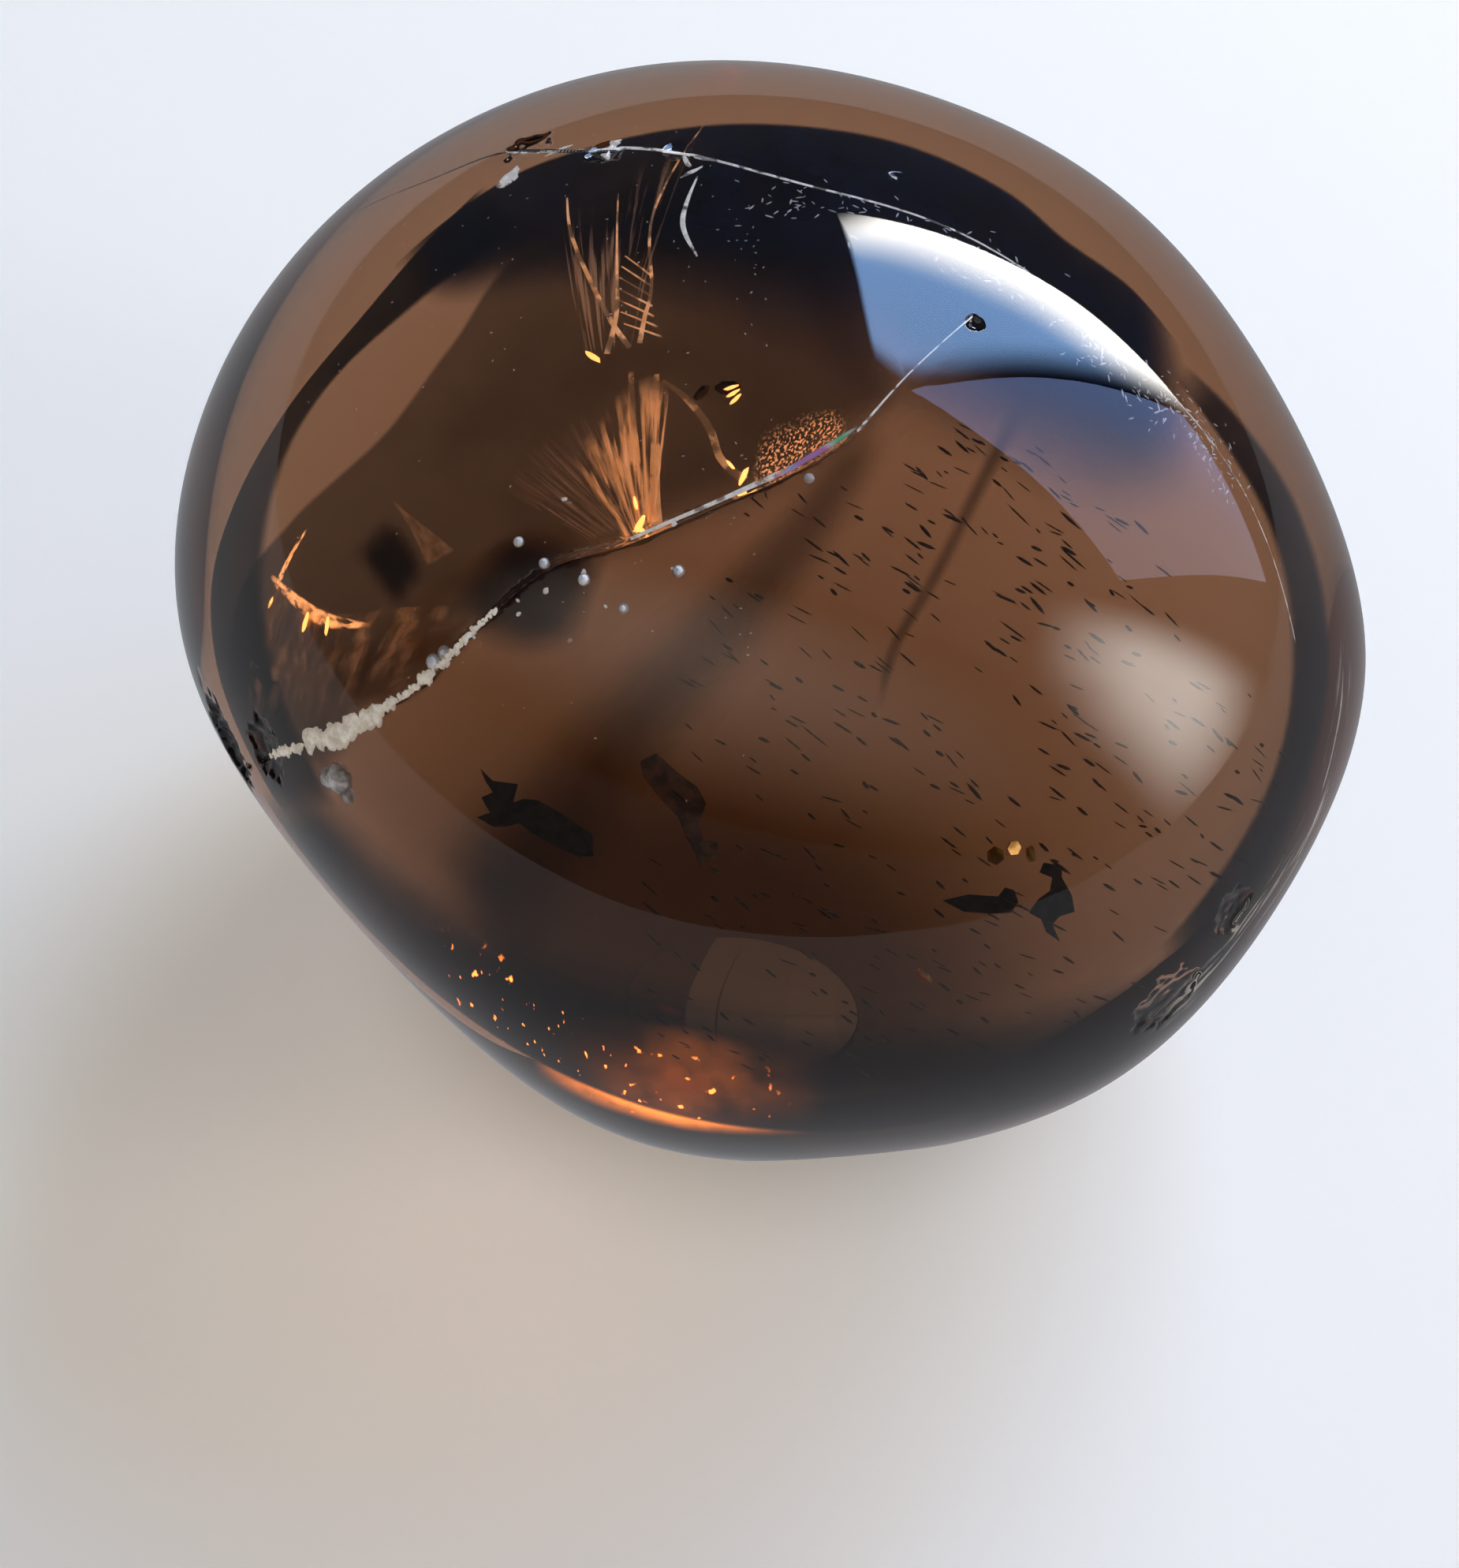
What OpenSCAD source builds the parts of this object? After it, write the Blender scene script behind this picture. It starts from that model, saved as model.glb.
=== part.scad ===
// Polished smoky quartz pebble, in millimetres. It is one crystal, rubbed to a rounded ovoid with a few soft
// flats, that rests on a small flat spot. Its open crack holds a pale crust, and flakes, rods, plates and
// grains of other minerals are shut inside it, each seated in a pocket of its own shape.
// X runs along the stone, Z points up, and the origin is under its middle, on the surface that it rests on.

/* [Stone] */
// Half length of the starting ellipsoid, along X
half_length = 39.5; // [37:0.5:42]
// Half width of the starting ellipsoid, along Y
half_width = 36.5; // [35:0.5:37.5]
// Half height of the starting ellipsoid, along Z
half_height = 33.5; // [32:0.5:35]
// Height of the ellipsoid's centre above the resting spot
seat_height = 32.25; // [31:0.25:33]
// How crisply the ground flats meet the ellipsoid
flat_sharpness = 12; // [8:1:18]
// Facets round the stone
segments = 80; // [60:4:96]
// Rings of facets from the foot to the crown
rings = 42; // [32:2:48]

/* [Crack] */
// Compass direction of the crack plane's normal, in degrees
crack_azimuth = 163; // [158:1:168]
// Slope of the crack plane's normal, in degrees
crack_elevation = 37; // [34:1:40]
// Width of the open hairline
crack_gap = 0.3; // [0.2:0.05:0.5]
// Depth of the open hairline, as a share of the stone's radius
crack_depth = 0.035; // [0.02:0.005:0.05]
// Radius of the largest lump of crust in the crack
crust_radius = 1.15; // [0.9:0.05:1.3]

/* [Inclusions] */
// Thickness of the black flakes
flake_thickness = 0.35; // [0.25:0.05:0.6]
// Number of dark rods
rod_count = 44; // [20:4:60]
// Length of the longest dark rod
rod_length = 0.9; // [0.6:0.1:1.2]
// Thickness of a dark rod
rod_thickness = 0.2; // [0.15:0.05:0.3]
// Thickness of the golden plates
plate_thickness = 0.2; // [0.15:0.05:0.3]

/* [Hidden] */

// Ground flats: [azimuth, elevation, distance from the ellipsoid's centre]
flats = [[250, -20, 34], [55, 15, 35.5], [95, 20, 35.5], [5, -20, 37.5], [310, -28, 38]];

// Every position from here on is measured from the ellipsoid's centre
// Chips in the polish: [position, radius of the bite, how deep its bowl reaches]
chips = [
    [[-21.4, -28.8, 3.9], 5, 0.5],
    [[-18.0, -0.3, 29.8], 2.2, 0.35],
    [[-13.2, 2.3, 31.5], 1.6, 0.3],
    [[-8.8, 4.0, 32.4], 1.4, 0.3],
    [[35.4, -9.7, 7.5], 1.6, 0.3],
    [[34.2, -14.2, 3.5], 2.4, 0.3],
    [[20.2, -24.2, -16.9], 14, 1.1]
];

// Middle of the crack plane, and the stretch of it that is open, in its own two directions
crack_centre = [-0.3, -16.8, 23.7];
crack_reach = [[-34, -22], [27, 34]];

// Lumps of crust: [position on the crack, size as a share of crust_radius]
crust_lumps = [
    [[-18.5, -29.6, 5.8], 0.6], [[-17.5, -29.7, 7.2], 0.7], [[-16.5, -29.8, 8.7], 0.75],
    [[-15.3, -29.7, 10.4], 0.9], [[-14.1, -29.5, 12.0], 1.0], [[-12.8, -29.3, 13.6], 1.0],
    [[-11.4, -29.0, 15.2], 0.85], [[-10.0, -28.6, 16.8], 0.7], [[-8.5, -28.0, 18.5], 0.5],
    [[-7.1, -27.4, 20.0], 0.4]
];

// Lumps of the nodule: [position in the skin, radius]
nodule_lumps = [[[-9.8, -31.6, 13.1], 1.0], [[-10.7, -31.6, 12.4], 0.7], [[-9.1, -31.8, 12.4], 0.6]];

// Grains stuck along the crack: [position, radius]
crack_grain_seats = [
    [[-5.8, -27.0, 21.5], 0.5], [[-5.4, -26.5, 22.1], 0.4], [[-3.8, -21.1, 27.0], 0.32],
    [[-1.9, -21.5, 26.8], 0.32], [[0.6, -21.4, 26.9], 0.36], [[3.3, -21.7, 26.5], 0.3],
    [[5.1, -19.0, 28.0], 0.36], [[8.8, -11.7, 30.5], 0.3]
];

// Outlines of the flakes, seen face on
bird_outline = [[-0.6, 2.0], [0.4, 1.8], [0.4, 1.2], [1.0, 0.2], [1.2, -0.7], [0.4, -0.9], [0, -1.3], [0.5, -2.3],
                [-0.3, -1.7], [-0.6, -1.0], [-1.3, -0.6], [-0.8, 0.1], [-0.2, 0.5], [-0.1, 1.2], [-0.8, 1.5]];
comma_outline = [[-2.1, 0], [-0.8, 0.4], [0.8, 0.4], [1.1, 0.9], [1.6, 0.8], [1.9, 0.2], [1.6, -0.4],
                 [0.6, -0.5], [-0.9, -0.5]];
torn_outline = [[-3.5, 1.8], [-2.7, 1.3], [-1.3, 1.4], [-1.4, 0.4], [-0.9, 0.7], [-0.1, 0.8], [1.5, 0.3],
                [3.1, -0.4], [3.3, -1.5], [2.6, -1.7], [1.2, -1.4], [-0.1, -1.0], [-0.9, -0.6], [-1.5, -0.9],
                [-2.3, -1.1], [-3.3, -0.8], [-2.6, -0.4], [-3.2, 0.3], [-2.6, 0.7], [-3.1, 1.2]];
folded_outline = [[-1.8, 2.8], [-0.9, 3.1], [0, 2.1], [1.0, 1.2], [1.4, 0.3], [0.9, -0.8], [1.1, -1.6],
                  [1.8, -1.8], [1.7, -2.6], [1.1, -2.3], [0.8, -3.0], [0.4, -1.8], [-0.1, -0.3],
                  [-1.1, 1.0], [-1.7, 2.0]];

// Golden plates: [position, radius]
plate_seats = [[[23.1, -16.1, 12.5], 0.5], [[23.8, -15.4, 12.8], 0.4], [[24.5, -14.8, 12.1], 0.45],
               [[22.0, -21.2, 7.1], 0.6], [[0.0, -5.0, 23.7], 0.7], [[-1.2, -5.6, 23.1], 0.5]];

// The belt of rods: a box in the growth direction of the crystal, and the way that the rods lean
rod_belt_centre = [18, -10, 10.5];
rod_belt_size = [30, 22, 9];
rod_belt_tilt = [20, 32, -15];

function direction(azimuth, elevation) =
    [cos(elevation) * cos(azimuth), cos(elevation) * sin(azimuth), sin(elevation)];

// Radius of the stone along a unit direction: an ellipsoid blended smoothly with the ground flats
function ellipsoid_share(u) = norm([u[0] / half_length, u[1] / half_width, u[2] / half_height]);
function flats_share(u) =
    [for (flat = flats) pow(max(0, u * direction(flat[0], flat[1]) / flat[2]), flat_sharpness)];
function sum(list) = list * [for (item = list) 1];
function radius_along(u) =
    1 / pow(pow(ellipsoid_share(u), flat_sharpness) + sum(flats_share(u)), 1 / flat_sharpness);

// The skin as points and triangles: the foot, then each ring from the bottom up, then the crown.
// What would reach below the resting spot is ground off level with it
function skin_point(ring, ring_count, segment, segment_count) =
    let (u = direction(segment * 360 / segment_count, -90 + ring * 180 / ring_count), p = radius_along(u) * u)
        [p[0], p[1], max(p[2], -seat_height)];
function skin_points(ring_count, segment_count) = concat(
    [skin_point(0, ring_count, 0, segment_count)],
    [for (r = [1:ring_count - 1]) for (s = [0:segment_count - 1]) skin_point(r, ring_count, s, segment_count)],
    [skin_point(ring_count, ring_count, 0, segment_count)]
);
function place(ring, segment, segment_count) = 1 + (ring - 1) * segment_count + segment % segment_count;
function skin_faces(n, m) = concat(
    [for (s = [0:m - 1]) [0, place(1, s, m), place(1, s + 1, m)]],
    [for (r = [1:n - 2]) for (s = [0:m - 1]) [place(r, s, m), place(r + 1, s, m), place(r, s + 1, m)]],
    [for (r = [1:n - 2]) for (s = [0:m - 1]) [place(r + 1, s, m), place(r + 1, s + 1, m), place(r, s + 1, m)]],
    [for (s = [0:m - 1]) [1 + (n - 1) * m, place(n - 1, s + 1, m), place(n - 1, s, m)]]
);

// The ellipsoid's centre in the part's frame, which puts the bounding box's middle over the origin
fine_skin = skin_points(rings, segments);
function middle(values) = (max(values) + min(values)) / 2;
stone_centre = [-middle([for (p = fine_skin) p[0]]), -middle([for (p = fine_skin) p[1]]), seat_height];

// Everything below is built round the ellipsoid's centre, and seated() puts it on its resting spot
module seated() { translate(stone_centre) children(); }

module stone_blank() {
    polyhedron(points = fine_skin, faces = skin_faces(rings, segments), convexity = 2);
}

// The stone inside its rind, which the open hairline doesn't reach. It is never seen, so its facets are coarse
module stone_core() {
    n = round(rings / 2);
    m = round(segments / 2);
    scale(1 - crack_depth) polyhedron(points = skin_points(n, m), faces = skin_faces(n, m), convexity = 2);
}

// A frame whose Z faces a compass direction and a slope, and whose Y points up that slope
module facing(position, azimuth, elevation) {
    translate(position) rotate([0, 0, azimuth + 90]) rotate([90 - elevation, 0, 0]) children();
}

// A shallow bowl: a large ball that only just bites into the skin
module chip(position, bite_radius, depth) {
    ball_radius = (bite_radius * bite_radius + depth * depth) / (2 * depth);
    outward = position / norm(position);
    translate(position + outward * (ball_radius - depth)) sphere(r = ball_radius, $fn = 40);
}

// The open hairline: a thin slab in the crack plane, kept to the outer rind of the stone
module crack_slab() {
    translate(crack_centre) rotate([0, 90 - crack_elevation, crack_azimuth])
        translate([crack_reach[0][0], crack_reach[0][1], -crack_gap / 2])
            cube([crack_reach[1][0] - crack_reach[0][0], crack_reach[1][1] - crack_reach[0][1], crack_gap]);
}

module hairline() {
    difference() {
        crack_slab();
        stone_core();
    }
}

module crust_shape() {
    for (lump = crust_lumps) translate(lump[0]) sphere(r = crust_radius * lump[1], $fn = 10);
}

module nodule_shape() {
    for (lump = nodule_lumps) translate(lump[0]) sphere(r = lump[1], $fn = 10);
}

module grain_shapes() {
    for (grain = crack_grain_seats) translate(grain[0]) sphere(r = grain[1], $fn = 10);
}

module flake(outline, position, azimuth, elevation) {
    facing(position, azimuth, elevation)
        linear_extrude(height = flake_thickness, center = true) polygon(outline);
}

module bird_shape() { flake(bird_outline, [25.8, -14.6, 8.9], -58, 48); }
module comma_shape() { flake(comma_outline, [23.0, -17.2, 9.7], -66, 56); }
module torn_shape() { flake(torn_outline, [1.1, -25.8, 11.9], -72, 50); }
module folded_shape() { flake(folded_outline, [7.8, -22.4, 13.1], -50, 44); }

module plate_shapes() {
    for (i = [0:len(plate_seats) - 1])
        translate(plate_seats[i][0]) rotate([40 + 9 * i, 15 * i, 50 * i])
            cylinder(r = plate_seats[i][1], h = plate_thickness, center = true, $fn = 6);
}

module rod_shapes() {
    along = rands(-0.5, 0.5, rod_count, 11);
    across = rands(-0.5, 0.5, rod_count, 23);
    deep = rands(-0.5, 0.5, rod_count, 37);
    lean = rands(-25, 25, rod_count, 41);
    size = rands(0.45, 1, rod_count, 53);
    translate(rod_belt_centre) rotate(rod_belt_tilt)
        for (i = [0:rod_count - 1])
            translate([along[i] * rod_belt_size[0], across[i] * rod_belt_size[1], deep[i] * rod_belt_size[2]])
                rotate([0, lean[i] / 2, lean[i]])
                    cube([rod_length * size[i], rod_thickness, rod_thickness], center = true);
}

module quartz_crystal() {
    color([0.30, 0.20, 0.15, 0.6]) seated() difference() {
        stone_blank();
        for (bowl = chips) chip(bowl[0], bowl[1], bowl[2]);
        hairline();
        crust_shape();
        nodule_shape();
        grain_shapes();
        bird_shape();
        comma_shape();
        torn_shape();
        folded_shape();
        rod_shapes();
        plate_shapes();
    }
}

module crack_crust() { color([0.82, 0.76, 0.66]) seated() crust_shape(); }
module pit_nodule() { color([0.62, 0.57, 0.55]) seated() nodule_shape(); }
module crack_grains() { color([0.85, 0.82, 0.78]) seated() grain_shapes(); }
module black_flake_bird() { color([0.05, 0.05, 0.06]) seated() bird_shape(); }
module black_flake_comma() { color([0.05, 0.05, 0.06]) seated() comma_shape(); }
module black_flake_torn() { color([0.06, 0.05, 0.06]) seated() torn_shape(); }
module brown_flake_folded() { color([0.16, 0.09, 0.06]) seated() folded_shape(); }
module dark_rods() { color([0.10, 0.07, 0.06]) seated() rod_shapes(); }
module gold_plates() { color([0.78, 0.56, 0.25]) seated() plate_shapes(); }

quartz_crystal();
crack_crust();
pit_nodule();
crack_grains();
black_flake_bird();
black_flake_comma();
black_flake_torn();
brown_flake_folded();
dark_rods();
gold_plates();
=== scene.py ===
import math
import random

import bmesh
import bpy
from mathutils import Matrix, Vector, kdtree, noise


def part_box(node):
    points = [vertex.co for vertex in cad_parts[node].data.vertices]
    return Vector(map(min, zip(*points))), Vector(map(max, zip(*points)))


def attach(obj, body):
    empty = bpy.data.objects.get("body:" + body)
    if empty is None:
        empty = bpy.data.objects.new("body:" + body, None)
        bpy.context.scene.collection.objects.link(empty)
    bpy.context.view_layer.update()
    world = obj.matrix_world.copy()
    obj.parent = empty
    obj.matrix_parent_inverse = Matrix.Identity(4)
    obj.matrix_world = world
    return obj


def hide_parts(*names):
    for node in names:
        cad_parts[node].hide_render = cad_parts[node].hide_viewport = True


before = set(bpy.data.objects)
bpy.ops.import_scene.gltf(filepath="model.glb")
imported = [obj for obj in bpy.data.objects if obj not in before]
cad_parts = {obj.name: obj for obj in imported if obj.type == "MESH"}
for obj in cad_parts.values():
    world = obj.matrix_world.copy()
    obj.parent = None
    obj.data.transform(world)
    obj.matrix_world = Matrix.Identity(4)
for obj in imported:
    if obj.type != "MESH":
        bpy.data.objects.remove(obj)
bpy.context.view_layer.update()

MM = 0.001
FLOOR_SIZE = 3.0
CRACK_STEPS = 500
CAMERA_HEADING, CAMERA_DISTANCE, CAMERA_LENS = (-60, 52), 0.190, 67.1

# The floor glows a little, less so near the foot, between these two distances from the middle.
FOOT_SHADE = (14 * MM, 32 * MM)
LOW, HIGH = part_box("quartz_crystal")

# The pebble's skin: a rounded body, softly ground flat on five sides (azimuth, elevation, distance).
HALF_LENGTH, HALF_WIDTH, HALF_HEIGHT = 39.5 * MM, 36.5 * MM, 33.5 * MM
FLATS = (
    (250, -20, 34 * MM), (55, 15, 35.5 * MM), (95, 20, 35.5 * MM), (5, -20, 37.5 * MM), (310, -28, 38 * MM)
)
FLAT_SHARPNESS = 12

# Everything on or in the stone is placed by its heading from the stone's middle: azimuth and elevation in
# degrees, and the share of the way out to the skin.

# The open crack, from the chipped left end over the shoulder to the crown. Each row has the heading of the
# skin there, the heading in which the crack dips into the stone, and how deep it is open, in millimetres.
CRACK = (
    ((-122, 9), (100, -30), 1.5),
    ((-114, 20), (100, -30), 2),
    ((-108, 27), (104, -36), 2.5),
    ((-102, 36), (108, -40), 3),
    ((-99, 43), (111, -44), 3),
    ((-94, 51), (114, -44), 4),
    ((-84, 56), (116, -46), 5),
    ((-72, 61), (119, -48), 4),
    ((-56, 65), (120, -50), 4),
    ((-40, 68), (122, -54), 3),
    ((-22, 71), (124, -58), 1.5),
    ((8, 71), (126, -60), 0.8),
)

# Chips in the polish: heading, radius of the bite and its depth in millimetres.
CHIPS = (
    ((-127, 7), 3.0, 0.8),
    ((-118, 16), 2.0, 0.5),
    ((172, 57), 1.5, 0.4),
    ((168, 66), 1.1, 0.35),
    ((155, 72), 0.9, 0.3),
    ((75, 74), 0.5, 0.2),
    ((8, 70), 0.5, 0.35),
    ((-107, 22), 0.8, 0.3),
    ((-15, 11.5), 1.6, 0.3),
    ((-22.5, 5.5), 2.4, 0.3),
)

# The shallow dish at the lower front: heading, radius and depth in millimetres.
DISH = ((-50, -28), 7.7, 1.1)


# ---- shape of the stone ----

def heading(azimuth, elevation):
    a, e = math.radians(azimuth), math.radians(elevation)
    return Vector((math.cos(e) * math.cos(a), math.cos(e) * math.sin(a), math.sin(e)))


def skin_radius(u):
    """How far the polished skin is from the pebble's middle, along the unit direction u."""
    body = Vector((u.x / HALF_LENGTH, u.y / HALF_WIDTH, u.z / HALF_HEIGHT)).length ** FLAT_SHARPNESS
    ground = sum(max(0, u.dot(heading(a, e)) / d) ** FLAT_SHARPNESS for a, e, d in FLATS)
    polish = 1 + 0.0003 * noise.noise(u * 6)
    return (body + ground) ** (-1 / FLAT_SHARPNESS) * polish


def in_stone(u, share):
    return MIDDLE + u * skin_radius(u) * share


def on_skin(azimuth, elevation, share=1):
    return in_stone(heading(azimuth, elevation), share)


def smooth_path(points, t):
    """The point at share t of a smooth curve through points, which may be vectors or plain numbers."""
    place = min(max(t, 0), 1) * (len(points) - 1)
    i = min(int(place), len(points) - 2)
    f = place - i
    a, b = points[max(i - 1, 0)], points[i]
    c, d = points[i + 1], points[min(i + 2, len(points) - 1)]
    bend = 2 * a - 5 * b + 4 * c - d
    return 0.5 * (2 * b + (c - a) * f + bend * f * f + (3 * b - 3 * c + d - a) * f ** 3)


def wander(x, y, z=0.0):
    return noise.noise(Vector((x, y, z)))


def shake():
    """A seeded offset of up to 1 each way."""
    return Vector([random.uniform(-1, 1) for _ in range(3)])


# ---- making pieces ----

def finished(name, bm, material, slot, *replaced):
    """Turns a bmesh into a piece that rides on the stone."""
    for face in bm.faces:
        face.smooth = True
    mesh = bpy.data.meshes.new(name)
    bm.to_mesh(mesh)
    bm.free()
    mesh.materials.append(material)
    piece = bpy.data.objects.new(name, mesh)
    bpy.context.scene.collection.objects.link(piece)
    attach(piece, "root")
    if replaced:
        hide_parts(*replaced)
    return piece


def join_into(bm, other):
    mesh = bpy.data.meshes.new("joined")
    other.to_mesh(mesh)
    other.free()
    bm.from_mesh(mesh)
    bpy.data.meshes.remove(mesh)


def new_body():
    bm = bmesh.new()
    bm.loops.layers.uv.new("UVMap")
    return bm


def grid_sheet(bm, place, along, across, thickness):
    """Adds a thin plate. place(s, t) gives the point at share s along and share t across."""
    plate = new_body()
    bmesh.ops.create_grid(plate, x_segments=along, y_segments=across, size=1, calc_uvs=True)
    for v in plate.verts:
        v.co = place((v.co.x + 1) / 2, (v.co.y + 1) / 2)
    bmesh.ops.solidify(plate, geom=plate.faces[:], thickness=thickness)
    bmesh.ops.recalc_face_normals(plate, faces=plate.faces[:])
    join_into(bm, plate)


def veil(bm, edge_a, edge_b, share_a, share_b=None, along=60, across=16, thickness=0.06 * MM, waver=0.0):
    """A plate between two paths of headings, lying at a share of the way out to the skin."""
    path_a = [heading(*h) for h in edge_a]
    path_b = [heading(*h) for h in edge_b]
    share_b = share_a if share_b is None else share_b

    def place(s, t):
        u = smooth_path(path_a, s).lerp(smooth_path(path_b, s), t).normalized()
        shake = waver * wander(s * 9, t * 9, share_a * 7)
        return in_stone(u, share_a + (share_b - share_a) * t + shake)

    grid_sheet(bm, place, along, across, thickness)


def ribbon(bm, path, share, widths, along=60, across=4, thickness=0.05 * MM):
    """A strip along a path of headings. widths are in millimetres, spread evenly along it."""
    line = [heading(*h) for h in path]
    widths = [w * MM for w in (widths if len(widths) > 1 else widths * 2)]

    def place(s, t):
        here = in_stone(smooth_path(line, s).normalized(), share)
        there = in_stone(smooth_path(line, s + 0.01).normalized(), share)
        back = in_stone(smooth_path(line, s - 0.01).normalized(), share)
        side = (there - back).cross(here - MIDDLE).normalized()
        spot = here + side * smooth_path(widths, s) * (t - 0.5)
        return in_stone((spot - MIDDLE).normalized(), share)

    grid_sheet(bm, place, along, across, thickness)


def blob(bm, centre, size, turn=0.0, stretch=(1, 1, 1), detail=2, rough=0.25):
    """A small uneven lump."""
    lump = new_body()
    bmesh.ops.create_icosphere(lump, subdivisions=detail, radius=1)
    for v in lump.verts:
        v.co *= 1 + rough * noise.noise(v.co * 1.7 + centre / MM)
        v.co = Vector((v.co.x * stretch[0], v.co.y * stretch[1], v.co.z * stretch[2])) * size
    bmesh.ops.rotate(lump, cent=(0, 0, 0), matrix=Matrix.Rotation(turn, 3, "Z"), verts=lump.verts)
    lie = (centre - MIDDLE).to_track_quat("Z", "Y").to_matrix()
    bmesh.ops.rotate(lump, cent=(0, 0, 0), matrix=lie, verts=lump.verts)
    bmesh.ops.translate(lump, vec=centre, verts=lump.verts)
    join_into(bm, lump)


# ---- materials ----

def shader(name, **values):
    material = bpy.data.materials.new(name)
    material.use_nodes = True
    principled = material.node_tree.nodes["Principled BSDF"]
    for socket, value in values.items():
        principled.inputs[socket.replace("_", " ")].default_value = value
    return material


def add_node(material, kind, feeds=(), **settings):
    """Adds a node, sets its properties and links or sets its inputs in order."""
    made = material.node_tree.nodes.new(kind)
    for key, value in settings.items():
        setattr(made, key, value)
    for place, value in feeds:
        if isinstance(value, bpy.types.NodeSocket):
            material.node_tree.links.new(value, made.inputs[place])
        else:
            made.inputs[place].default_value = value
    return made


def calc(material, operation, a, b=0.0):
    return add_node(material, "ShaderNodeMath", ((0, a), (1, b)), operation=operation).outputs[0]


def rise(material, x, low, high, bottom=0.0, top=1.0):
    feeds = (("Value", x), ("From Min", low), ("From Max", high), ("To Min", bottom), ("To Max", top))
    return add_node(material, "ShaderNodeMapRange", feeds, interpolation_type="SMOOTHSTEP").outputs[0]


def along_across(material):
    uv = add_node(material, "ShaderNodeUVMap", uv_map="UVMap")
    parts = add_node(material, "ShaderNodeSeparateXYZ", ((0, uv.outputs[0]),))
    return parts.outputs[0], parts.outputs[1]


def object_noise(material, scale, detail=3.0, distortion=0.0):
    where = add_node(material, "ShaderNodeTexCoord").outputs["Object"]
    feeds = (("Vector", where), ("Scale", scale), ("Detail", detail), ("Distortion", distortion))
    return add_node(material, "ShaderNodeTexNoise", feeds).outputs[0]


def strand_noise(material, along, across, detail=2.0, seed=0.0):
    """Noise drawn out into strands: along and across say how busy it is each way."""
    s, t = along_across(material)
    feeds = (
        (0, calc(material, "MULTIPLY", s, along)), (1, calc(material, "MULTIPLY", t, across)), (2, seed)
    )
    where = add_node(material, "ShaderNodeCombineXYZ", feeds).outputs[0]
    feeds = (("Vector", where), ("Scale", 1.0), ("Detail", detail))
    return add_node(material, "ShaderNodeTexNoise", feeds).outputs[0]


def edge_mask(material, ends=0.15, edge_a=0.3, edge_b=0.3):
    """1 in the middle of a plate, fading out over these shares of it at the ends and the two edges."""
    s, t = along_across(material)
    mask = rise(material, s, 0, ends)
    mask = calc(material, "MULTIPLY", mask, rise(material, s, 1, 1 - ends))
    mask = calc(material, "MULTIPLY", mask, rise(material, t, 0, edge_a))
    return calc(material, "MULTIPLY", mask, rise(material, t, 1, 1 - edge_b))


def set_alpha(material, value):
    material.node_tree.links.new(value, material.node_tree.nodes["Principled BSDF"].inputs["Alpha"])


def color_between(material, value, low, high, color_a, color_b):
    """Base colour running from color_a to color_b as value goes from low to high."""
    share = rise(material, value, low, high)
    feeds = ((0, share), (6, (*color_a, 1)), (7, (*color_b, 1)))
    mixed = add_node(material, "ShaderNodeMix", feeds, data_type="RGBA").outputs[2]
    material.node_tree.links.new(mixed, material.node_tree.nodes["Principled BSDF"].inputs["Base Color"])


def painted_glow(material, color, strength):
    """Painted light: a glow set into the material, though the part is no lamp."""
    principled = material.node_tree.nodes["Principled BSDF"]
    principled.inputs["Emission Color"].default_value = color
    principled.inputs["Emission Strength"].default_value = strength


def add_bump(material, height, strength, distance):
    feeds = (("Height", height), ("Strength", strength), ("Distance", distance))
    bump = add_node(material, "ShaderNodeBump", feeds).outputs[0]
    material.node_tree.links.new(bump, material.node_tree.nodes["Principled BSDF"].inputs["Normal"])


def smoky_quartz():
    material = shader(
        "smoky_quartz", Base_Color=(1, 1, 1, 1), Roughness=0.0, IOR=1.544, Transmission_Weight=1
    )
    darkening = add_node(material, "ShaderNodeVolumeAbsorption")
    darkening.inputs["Color"].default_value = (0.77, 0.625, 0.49, 1)
    darkening.inputs["Density"].default_value = 92
    links = material.node_tree.links
    links.new(darkening.outputs[0], material.node_tree.nodes["Material Output"].inputs["Volume"])
    return material


def darkening(name, color, strength, ends=0.15, edge_a=0.3, edge_b=0.3):
    """A dark layer in the quartz that only darkens what is seen through it: painted shade for the dark
    surroundings seen through the stone, and also the brown lobe and the dark eye.
    """
    material = shader(name, Base_Color=(*color, 1), Roughness=1, Specular_IOR_Level=0)
    cloud = rise(material, object_noise(material, 90, 4, 0.5), 0.3, 0.7, 0.8, 1.0)
    mask = calc(material, "MULTIPLY", edge_mask(material, ends, edge_a, edge_b), cloud)
    tint = tuple(c * 1.8 for c in color)
    color_between(material, object_noise(material, 220, 3), 0.35, 0.65, color, tint)
    set_alpha(material, calc(material, "MULTIPLY", mask, strength))
    return material


def painted_fracture_glint(
    name, strength, along, across, low=0.45, high=0.6, glow=0.4, ends=0.2, edge_a=0.2, edge_b=0.5, seed=0.0
):
    """Painted light on a healed fracture: copper colour and glow stand in for the light it catches, in
    strands that come and go.
    """
    material = shader(name, Base_Color=(0.7, 0.33, 0.14, 1), Roughness=0.45, Metallic=0.3)
    painted_glow(material, (0.85, 0.36, 0.13, 1), glow)
    strands = strand_noise(material, along, across, 3, seed)
    color_between(material, strands, 0.35, 0.7, (0.3, 0.12, 0.05), (0.92, 0.52, 0.3))
    streak = rise(material, strands, low, high)
    mask = calc(material, "MULTIPLY", streak, edge_mask(material, ends, edge_a, edge_b))
    set_alpha(material, calc(material, "MULTIPLY", mask, strength))
    return material


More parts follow.
